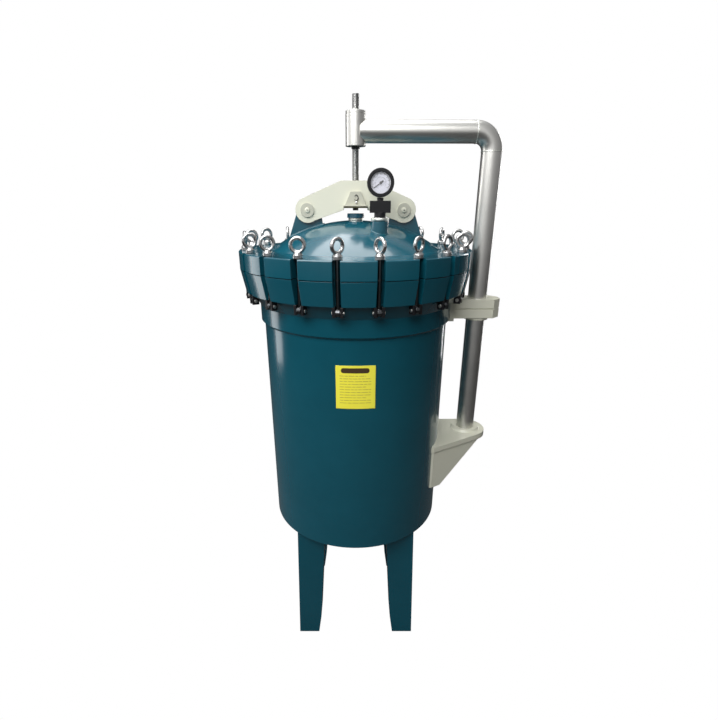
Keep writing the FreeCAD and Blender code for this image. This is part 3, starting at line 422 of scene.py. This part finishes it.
filter_cloth = painted("spun polyester", (0.80, 0.82, 0.84, 1), (0.88, 0.89, 0.90, 1),
                       0.85, 0.05, 900.0, 0.4)
cap_plastic = painted("cartridge end plastic", (0.05, 0.07, 0.14, 1), (0.07, 0.09, 0.17, 1),
                      0.4, 0.08, 500.0, 0.08)
weld_paint = painted("painted weld bead", (0.003, 0.074, 0.104, 1), (0.006, 0.095, 0.130, 1),
                     0.22, 0.10, 180.0, 0.3, Coat_Weight=0.5, Coat_Roughness=0.08)
label_rule = painted("faint print", (0.38, 0.30, 0.06, 1), (0.46, 0.37, 0.08, 1),
                     0.4, 0.06, 350.0, 0.03)
rod_steel = brushed("screw steel", (0.20, 0.20, 0.20, 1), (0.34, 0.34, 0.33, 1),
                    0.26, 0.12, (300.0, 300.0, 300.0), 0.06)
ink_black = painted("printed black", (0.015, 0.015, 0.018, 1), (0.025, 0.025, 0.028, 1),
                    0.4, 0.05, 500.0, 0.02)

# %% The gauge's glass
glass, glass_tree, glass_shader = new_material("gauge glass", Alpha=0.10, IOR=1.45, Roughness=0.02)
glass_haze = use_group(glass_tree, GRAIN, Scale=60.0, Roughness=0.02, Spread=0.02)
link(glass_tree, glass_haze.outputs["Roughness"], glass_shader.inputs["Roughness"])

# %% The floor's finish
def make_floor_paint():
    """A floor that is plain white where it is looked at, and mid grey where it lights or is mirrored."""
    material, tree, shader = new_material("pale floor", Roughness=0.9, Specular_IOR_Level=0.0)
    ray = add(tree, "ShaderNodeLightPath")
    tone = use_group(tree, BLOTCHES, Color_A=(0.07, 0.07, 0.07, 1), Color_B=(0.09, 0.09, 0.09, 1),
                     Scale=0.8, Contrast=0.6)
    seen = add(tree, "ShaderNodeMix", {"data_type": "RGBA"})
    link(tree, ray.outputs["Is Camera Ray"], seen.inputs[0])
    link(tree, tone.outputs["Color"], seen.inputs[6])
    seen.inputs[7].default_value = (0.0, 0.0, 0.0, 1.0)
    link(tree, seen.outputs[2], shader.inputs["Base Color"])
    shader.inputs["Emission Color"].default_value = (1.0, 1.0, 1.0, 1.0)
    link(tree, ray.outputs["Is Camera Ray"], shader.inputs["Emission Strength"])
    return material


floor.data.materials.append(make_floor_paint())

# %% [markdown]
# A swing bolt is two colours in one piece. Its rod is painted dark, as painted shade of the slot it lies in,
# and the eye nut above the lid is bright. The change follows the piece's own height, so it goes with the
# bolt.

# %% Bolt steel
def make_bolt_steel():
    material, tree, shader = new_material("bolt steel", Metallic=1.0)
    holder = bpy.data.objects["swing_bolt_01"]
    level = (holder.matrix_world.inverted() @ Vector((0.0, 0.0, lid_high_flange))).z
    place = add(tree, "ShaderNodeTexCoord")
    parts = add(tree, "ShaderNodeSeparateXYZ")
    link(tree, place.outputs["Object"], parts.inputs[0])
    above = add(tree, "ShaderNodeMapRange", From_Min=level - 1 * MM, From_Max=level + 1 * MM)
    link(tree, parts.outputs["Z"], above.inputs["Value"])
    nut = use_group(tree, BLOTCHES, Color_A=(0.36, 0.36, 0.36, 1), Color_B=(0.60, 0.60, 0.59, 1),
                    Scale=40.0, Contrast=1.4)
    mix = add(tree, "ShaderNodeMix", {"data_type": "RGBA"})
    link(tree, above.outputs["Result"], mix.inputs[0])
    # The rod's dark colour is painted shade of its slot.
    mix.inputs[6].default_value = (0.11, 0.115, 0.12, 1.0)
    link(tree, nut.outputs["Color"], mix.inputs[7])
    link(tree, mix.outputs[2], shader.inputs["Base Color"])
    lines = use_group(tree, BRUSHED, Along=(320.0, 320.0, 320.0), Roughness=0.20, Spread=0.14)
    link(tree, lines.outputs["Roughness"], shader.inputs["Roughness"])
    add_bump(tree, shader, lines.outputs["Height"], 0.05, 0.0004)
    return material


bolt_steel = make_bolt_steel()

# %% [markdown]
# ## Dressing the pieces
# Each piece of the model takes one finish. Its shape stays as it is, and only its material slots change.

# %% Dress the pieces
def dress(material, *nodes):
    for name in nodes:
        thing = bpy.data.objects[name]
        if not thing.material_slots:
            thing.data.materials.append(material)
        for entry in thing.material_slots:
            entry.material = material


dress(teal_paint, "vessel_shell", "inlet_nozzle", "outlet_nozzle", "lid", "lid_lugs",
      "gauge_boss", *LEGS)
dress(cream_paint, "upper_bracket", "lower_bracket", "yoke_front_plate", "yoke_back_plate")
# The clevis and the yoke pins take the darker cream, which is painted shade.
dress(cream_painted_shade, "yoke_clevis", "yoke_pins")
dress(steel_up, "davit_post", "davit_elbow", "davit_bush", "lift_nut", "drain_plug", "pivot_pins",
      "tube_sheet", "hold_down_plate")
dress(steel_across, "davit_arm")
dress(pale_zinc, "vent_ring")
dress(bolt_steel, *BOLTS)
# The pivot lugs take black as painted shade in the shadow under the flange; their own paint is teal.
dress(black_steel, "pivot_lugs", "rod_nut", "gauge_block", "gauge_case", "gauge_pointer")
dress(rubber, "lid_seal", "post_washer")
dress(blue_cap, "vent_plug")
dress(dial_white, "gauge_dial")
dress(glass, "gauge_lens")
dress(label_yellow, "label_plate")
dress(filter_cloth, "filter_media")
dress(cap_plastic, "cartridge_caps")

# %% [markdown]
# ## Tools for small pieces
# Each small piece is real mesh. A lathe turns a profile about an upright axis, a sweep pulls a round wire
# along a path, and a probe finds the surface of a CAD piece, so that a bead lies on what it joins.

# %% Mesh tools
def piece(name, corners, faces, material, slot, body, smooth=True):
    """Makes one mesh piece that rides on a body."""
    mesh = bpy.data.meshes.new(name)
    mesh.from_pydata([tuple(c) for c in corners], [], faces)
    mesh.validate()
    mesh.polygons.foreach_set("use_smooth", [smooth] * len(mesh.polygons))
    mesh.materials.append(material)
    thing = bpy.data.objects.new(name, mesh)
    bpy.context.collection.objects.link(thing)
    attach(thing, body)
    return thing


def tube_faces(rings, sides, closed=False, capped=True):
    """The faces of a tube made of rings of corners, one after another."""
    faces = []
    for i in range(rings if closed else rings - 1):
        a, b = i * sides, (i + 1) % rings * sides
        faces += [(a + k, a + (k + 1) % sides, b + (k + 1) % sides, b + k) for k in range(sides)]
    if capped and not closed:
        faces.append(tuple(reversed(range(sides))))
        faces.append(tuple((rings - 1) * sides + k for k in range(sides)))
    return faces


def lathe(profile, centre, sides=64, axis=Vector((0, 0, 1))):
    """Corners and faces of a closed profile of (radius, height), turned about an axis at a centre."""
    turn = axis.to_track_quat("Z", "Y")
    corners = []
    for radius, height in profile:
        for k in range(sides):
            angle = 2 * math.pi * k / sides
            spoke = Vector((radius * math.cos(angle), radius * math.sin(angle), height))
            corners.append(Vector(centre) + turn @ spoke)
    return corners, tube_faces(len(profile), sides, closed=False)


def resampled(path, step):
    """The same path with points a step apart."""
    points = [Vector(path[0])]
    for a, b in zip(path, path[1:]):
        a, b = Vector(a), Vector(b)
        count = max(1, round((b - a).length / step))
        points += [a.lerp(b, (i + 1) / count) for i in range(count)]
    return points


def sweep(path, radius, sides=8, closed=False, ripple=0.0, pitch=1.0):
    """Corners and faces of a round wire along a path. A ripple swells it every pitch, as a weld does."""
    points = [Vector(p) for p in path]
    count = len(points)
    corners = []
    run = 0.0
    for i, point in enumerate(points):
        before = points[(i - 1) % count] if closed or i else point
        after = points[(i + 1) % count] if closed or i < count - 1 else point
        along = (after - before).normalized()
        side = along.orthogonal() if i == 0 else side - along * side.dot(along)
        side.normalize()
        other = along.cross(side)
        size = radius * (1 + ripple * math.sin(2 * math.pi * run / pitch))
        for k in range(sides):
            angle = 2 * math.pi * k / sides
            corners.append(point + (side * math.cos(angle) + other * math.sin(angle)) * size)
        run += (after - point).length
    return corners, tube_faces(count, sides, closed)


def merged(parts):
    """Several (corners, faces) as one."""
    corners, faces = [], []
    for more_corners, more_faces in parts:
        start = len(corners)
        corners += more_corners
        faces += [tuple(start + k for k in face) for face in more_faces]
    return corners, faces


def block(low, high):
    """Corners and faces of a plain box."""
    (a, b, c), (x, y, z) = low, high
    corners = [Vector(p) for p in ((a, b, c), (x, b, c), (x, y, c), (a, y, c),
                                   (a, b, z), (x, b, z), (x, y, z), (a, y, z))]
    return corners, [(3, 2, 1, 0), (4, 5, 6, 7), (0, 1, 5, 4), (1, 2, 6, 5), (2, 3, 7, 6), (3, 0, 4, 7)]


def surface(node):
    """A tree of a CAD piece's faces, to be probed with rays in the row frame."""
    thing = bpy.data.objects[node]
    corners = [thing.matrix_world @ v.co for v in thing.data.vertices]
    return BVHTree.FromPolygons(corners, [tuple(p.vertices) for p in thing.data.polygons])


def touch(tree, start, direction):
    """Where a ray meets a surface, or None."""
    return tree.ray_cast(Vector(start), Vector(direction))[0]


print("mesh tools ready")

# %% [markdown]
# ## Weld beads
# Beads run where the ears and the gauge boss stand on the dome, where the nozzles leave the shell, round
# the tops of the legs and beside the davit's shelf.

# %% Weld beads
BEAD = 2.6 * MM
BEAD_STEP = 2.5 * MM
BEAD_PITCH = 9 * MM
STUB_RADIUS = 44.45 * MM
vessel_surface = surface("vessel_shell")
lid_surface = surface("lid")


def bead(name, paths, material, slot, body, closed=False):
    """Ripple beads along paths of points that lie on a surface."""
    parts = [sweep(resampled(path, BEAD_STEP), BEAD, 8, closed, 0.10, BEAD_PITCH)
             for path in paths if len(path) > 1]
    return piece(name, *merged(parts), material, slot, body)


def on_lid(x, y):
    return touch(lid_surface, (x, y, 2.0), (0, 0, -1))


def along(start, stop, count):
    return [start + (stop - start) * i / (count - 1) for i in range(count)]


ear_low, ear_high = low_high("lid_lugs")
ear_foot = [0.096, ear_high.x]
ear_paths = []
for side in (-1, 1):
    for face in (ear_low.y, ear_high.y):
        ear_paths.append([on_lid(x * side, face) for x in along(*ear_foot, 24)])
bead("ear_welds", ear_paths, weld_paint, "teal_paint", "lid")

boss_middle = middle("gauge_boss")
boss_radius = (low_high("gauge_boss")[1].x - low_high("gauge_boss")[0].x) / 2
circle = [2 * math.pi * k / 64 for k in range(64)]
boss_path = [on_lid(boss_middle.x + boss_radius * math.cos(a), boss_middle.y + boss_radius * math.sin(a))
             for a in circle]
bead("boss_weld", [boss_path], weld_paint, "teal_paint", "lid", closed=True)

nozzle_paths = []
for node in ("inlet_nozzle", "outlet_nozzle"):
    centre = middle(node)
    starts = [(STUB_RADIUS * math.cos(a), 1.0, centre.z + STUB_RADIUS * math.sin(a)) for a in circle]
    nozzle_paths.append([touch(vessel_surface, start, (0, -1, 0)) for start in starts])
bead("nozzle_welds", nozzle_paths, weld_paint, "teal_paint", "vessel", closed=True)

leg_paths = []
for node in LEGS:
    low, high = low_high(node)
    side, end = (1 if middle(node).x > 0 else -1), (1 if middle(node).y > 0 else -1)
    inner, outer = min(abs(low.x), abs(high.x)), max(abs(low.x), abs(high.x)) * 0.93
    near, far = min(abs(low.y), abs(high.y)), max(abs(low.y), abs(high.y))
    path = [(x * side, far * end) for x in along(outer, inner, 30)]
    path += [(inner * side, y * end) for y in along(far, near, 20)]
    found = [touch(vessel_surface, (x, y, 0.1), (0, 0, 1)) for x, y in path]
    leg_paths.append([p for p in found if p is not None and p.z < high.z])
bead("leg_welds", leg_paths, weld_paint, "teal_paint", "vessel")

shelf_low, shelf_high = low_high("lower_bracket")
davit = middle("davit_post")
davit_angle = math.atan2(davit.y, davit.x)
front_edge = math.asin(shelf_low.y / body_radius) - davit_angle + math.radians(1.6)
back_edge = math.asin(shelf_high.y / body_radius) - davit_angle - math.radians(1.2)
shelf_top = low_high("post_washer")[0].z


def on_body(edge, z):
    """A point on the body's side, at an angle from the davit and a height."""
    return (body_radius * math.cos(davit_angle + edge), body_radius * math.sin(davit_angle + edge), z)


shelf_paths = [[on_body(a, shelf_top) for a in along(front_edge, back_edge, 40)]]
for edge in (front_edge, back_edge):
    shelf_paths.append([on_body(edge, shelf_low.z + 4 * MM), on_body(edge, shelf_top - 22 * MM)])
bead("shelf_welds", shelf_paths, cream_paint, "cream_paint", "vessel")

# %% [markdown]
# ## The lifting rod's thread
# The rod is a long screw. A thread of the same length and width takes its place: its radius rises and
# falls once in each turn, and the crest stays inside the bush's bore.

# %% Threaded rod
def threaded_rod(node, pitch, depth):
    low, high = low_high(node)
    centre, radius = (low + high) / 2, (high.x - low.x) / 2
    sides, per_turn = 24, 6
    rows = int((high.z - low.z) / pitch * per_turn)
    corners = []
    for row in range(rows + 1):
        z = low.z + (high.z - low.z) * row / rows
        for k in range(sides):
            angle = 2 * math.pi * k / sides
            phase = ((z - low.z) / pitch - k / sides) % 1.0
            tooth = max(0.0, min(1.0, 2.4 * abs(phase - 0.5) - 0.1))
            end = 0.6 if row in (0, rows) else 1.0
            size = (radius - depth * tooth) * (1 - (1 - end) * 0.2)
            corners.append((centre.x + size * math.cos(angle), centre.y + size * math.sin(angle), z))
    return corners, tube_faces(rows + 1, sides)


PITCH, DEPTH = 3.0 * MM, 0.8 * MM
rod = piece("threaded_rod", *threaded_rod("lifting_rod", PITCH, DEPTH), rod_steel, "stainless", "lid", False)
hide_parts("lifting_rod")

# %% [markdown]
# ## The bush, the lift nut, the elbow's seams and the gauge's collar

# %% Rings and collars
def ring(name, inner, outer, low, high, centre, material, slot, body, ease=0.6 * MM):
    """A ring with eased edges."""
    profile = [(inner, low), (outer - ease, low), (outer, low + ease), (outer, high - ease),
               (outer - ease, high), (inner, high), (inner, low)]
    corners, faces = lathe(profile, (centre.x, centre.y, 0.0), 48)
    return piece(name, corners, faces[:-2], material, slot, body)


ROD_CLEAR = 10.06 * MM
SEAM = 1.3 * MM
SEAM_PITCH = 5 * MM
bush_foot = low_high("davit_bush")[0].z
nut_top = low_high("lift_nut")[1].z
bush_middle = middle("davit_bush")
ring("bush_wiper", ROD_CLEAR, 12.0 * MM, bush_foot - 7 * MM, bush_foot, bush_middle, rubber,
     "seal_rubber", "vessel")
ring("lift_nut_collar", ROD_CLEAR, 12.5 * MM, nut_top, nut_top + 4 * MM, bush_middle, pale_zinc,
     "stainless", "lift_nut")
pipe_radius = (low_high("post_washer")[1].x - low_high("post_washer")[0].x) / 2
elbow_low, elbow_high = low_high("davit_elbow")
seam_up = [(davit.x + pipe_radius * math.cos(a), davit.y + pipe_radius * math.sin(a), elbow_low.z)
           for a in circle]
arm_high = low_high("davit_arm")[1]
bend = elbow_high.z - pipe_radius - elbow_low.z
arm_end = Vector((math.cos(davit_angle), math.sin(davit_angle), 0)) * (math.hypot(davit.x, davit.y) - bend)
wide = Vector((-math.sin(davit_angle), math.cos(davit_angle), 0)) * pipe_radius
arm_end.z = arm_high.z - pipe_radius
seam_across = [arm_end + wide * math.cos(a) + Vector((0, 0, pipe_radius)) * math.sin(a) for a in circle]
seams = [sweep(path, SEAM, 8, True, 0.2, SEAM_PITCH) for path in (seam_up, seam_across)]
piece("elbow_seams", *merged(seams), pale_zinc, "stainless", "vessel")
boss_top = low_high("gauge_boss")[1].z
ring("gauge_collar", 16.1 * MM, 25 * MM, boss_top + 1.5 * MM, boss_top + 9 * MM, boss_middle, pale_zinc,
     "stainless", "lid")

# %% [markdown]
# ## The yoke's pins and clip
# Each pin has a low round cap and a split pin through it. A bolt with a spring clip holds the small stop
# plate in the middle of the yoke.

# %% Pins and clip
FRONT = Vector((0, -1, 0))


def cap(radius, height, centre, axis, sides=32, crown=0.35):
    """A low cap with an eased crown, seated on a face."""
    profile = [(radius, 0.0), (radius, height * (1 - crown)), (radius * 0.86, height * 0.93),
               (radius * 0.5, height), (radius * 0.05, height)]
    return lathe(profile, centre, sides, axis)


pins_low, pins_high = low_high("yoke_pins")
pin_level = (pins_low.z + pins_high.z) / 2
pin_spots = [pins_low.x + 20 * MM, pins_high.x - 20 * MM]
caps, splits = [], []
for x in pin_spots:
    for face, axis in ((pins_low.y, FRONT), (pins_high.y, -FRONT)):
        caps.append(cap(7.5 * MM, 3.5 * MM, (x, face, pin_level), axis))
        spot = Vector((x, face, pin_level)) + axis * 3.4 * MM
        ends = spot + Vector((-1.6 * MM, 0, 1.0 * MM)), spot + Vector((2.0 * MM, 0, -0.9 * MM))
        splits.append(sweep([ends[0], spot, ends[1]], 0.9 * MM, 8))
piece("yoke_pin_caps", *merged(caps), cream_paint, "cream_paint", "lid")
piece("yoke_split_pins", *merged(splits), black_steel, "black_steel", "lid")

stop_low, stop_high = low_high("yoke_clevis")
piece("cross_plate_edge", *block((stop_low.x - 0.3 * MM, stop_low.y - 0.3 * MM, stop_low.z - 0.3 * MM),
                                 (stop_high.x + 0.3 * MM, stop_low.y + 2 * MM, stop_low.z + 5 * MM)),
      bare_edge, "black_steel", "lid", False)
stop_face = low_high("yoke_front_plate")[0].y - 8.5 * MM
stop_bolt = Vector((2 * MM, stop_face, stop_low.z + 15 * MM))
clip = []
for k in range(25):
    angle = math.radians(-60 + 300 * k / 24)
    rise = 13 * MM - 8 * MM * math.cos(angle)
    clip.append(stop_bolt + Vector((5.2 * MM * math.sin(angle), -2.4 * MM, rise)))
piece("stop_bolt", *cap(4.2 * MM, 3.6 * MM, stop_bolt, FRONT, 6, 0.2), bright_steel, "bright_steel",
      "lid", False)
piece("stop_clip", *sweep(clip, 1.0 * MM, 8), black_steel, "black_steel", "lid")

# %% [markdown]
# ## The gauge's marks
# The dial carries a scale of long and short marks and an arc, and no figures.

# %% Gauge marks
dial_low, dial_high = low_high("gauge_dial")
dial_middle = (dial_low + dial_high) / 2
dial_radius = (dial_high.x - dial_low.x) / 2
dial_front = dial_low.y - 0.25 * MM


def dial_bar(angle, inner, outer, width):
    """A thin bar on the dial, at an angle from the top, towards the right."""
    out = Vector((math.sin(angle), 0, math.cos(angle)))
    wide = Vector((math.cos(angle), 0, -math.sin(angle)))
    centre = Vector((dial_middle.x, dial_front, dial_middle.z))
    corners = [centre + out * r + wide * w for r, w in
               ((inner, -width / 2), (inner, width / 2), (outer, width / 2), (outer, -width / 2))]
    return corners, [(0, 1, 2, 3)]


marks = []
SWING = math.radians(125)
for k in range(51):
    angle = -SWING + 2 * SWING * k / 50
    long_mark = k % 5 == 0
    marks.append(dial_bar(angle, dial_radius * (0.74 if long_mark else 0.82), dial_radius * 0.90,
                          (0.9 if long_mark else 0.45) * MM))
for k in range(120):
    angle = -SWING + 2 * SWING * (k + 0.5) / 120
    marks.append(dial_bar(angle, dial_radius * 0.90, dial_radius * 0.925, 0.052 * dial_radius))
for k in range(60):
    angle = -SWING + 2 * SWING * (k + 0.5) / 60
    marks.append(dial_bar(angle, dial_radius * 0.52, dial_radius * 0.535, 0.05 * dial_radius))
piece("gauge_marks", *merged(marks), ink_black, "black_steel", "lid", False)

# %% [markdown]
# ## The printed plate
# The plate has a dark rounded heading and rows of thin rules where its print would be.

# %% Printed plate
label_front = -label_low.y


def on_label(u, z, lift=0.25 * MM):
    """A point on the plate, u round its curve from the middle, at a height."""
    angle = u / label_front
    size = label_front + lift
    return Vector((size * math.sin(angle), -size * math.cos(angle), z))


def label_strip(left, right, low, high, steps=16, round_ends=False):
    """A strip of print that follows the plate's curve, with round ends if asked."""
    corners = []
    height = (high - low) / 2
    for k in range(steps + 1):
        u = left + (right - left) * k / steps
        inset = 0.0
        if round_ends:
            near = min(u - left, right - u)
            inset = height - math.sqrt(max(0.0, height ** 2 - max(0.0, height - near) ** 2))
        corners += [on_label(u, low + inset), on_label(u, high - inset)]
    return corners, [(2 * k, 2 * k + 2, 2 * k + 3, 2 * k + 1) for k in range(steps)]


half_width = (label_high.x - label_low.x) / 2
heading = label_strip(-half_width * 0.74, half_width * 0.70,
                      label_high.z - 22 * MM, label_high.z - 7 * MM, 48, True)
piece("label_heading", *heading, label_brown, "black_steel", "vessel", False)
rules = []
for row in range(11):
    z = label_high.z - (31 + 8.2 * row) * MM
    reach = half_width * (0.78 if row % 4 else 0.52)
    start = -half_width * 0.80
    while start < reach:
        stop = min(reach, start + random.uniform(7, 22) * MM)
        rules.append(label_strip(start, stop, z, z + 1.3 * MM, 3))
        start = stop + 2.2 * MM
piece("label_rules", *merged(rules), label_rule, "black_steel", "vessel", False)

# %% [markdown]
# ## Pleated cartridges
# Inside, each cartridge is a folded cloth. A star of sixty folds takes the place of each plain tube.

# %% Pleated cartridges
def pleated(centre, low, high, outer, inner, folds):
    corners = []
    for z in (low, high):
        for k in range(folds * 2):
            size = outer if k % 2 else inner
            angle = math.pi * k / folds
            corners.append((centre[0] + size * math.cos(angle), centre[1] + size * math.sin(angle), z))
    count = folds * 2
    return corners, [(k, (k + 1) % count, count + (k + 1) % count, count + k) for k in range(count)]


media_low, media_high = low_high("filter_media")
media_radius = 75 * MM
FOLD_ROOT = 60 * MM
FOLDS = 60
pitch = (media_high.x - media_low.x) / 2 - media_radius
spots = [(0.0, 0.0)] + [(pitch * math.cos(math.radians(60 * k)), pitch * math.sin(math.radians(60 * k)))
                        for k in range(6)]
stars = [pleated(spot, media_low.z, media_high.z, media_radius, FOLD_ROOT, FOLDS) for spot in spots]
cloth = piece("pleated_cartridges", *merged(stars), filter_cloth, "filter_fabric", "vessel", False)
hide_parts("filter_media")
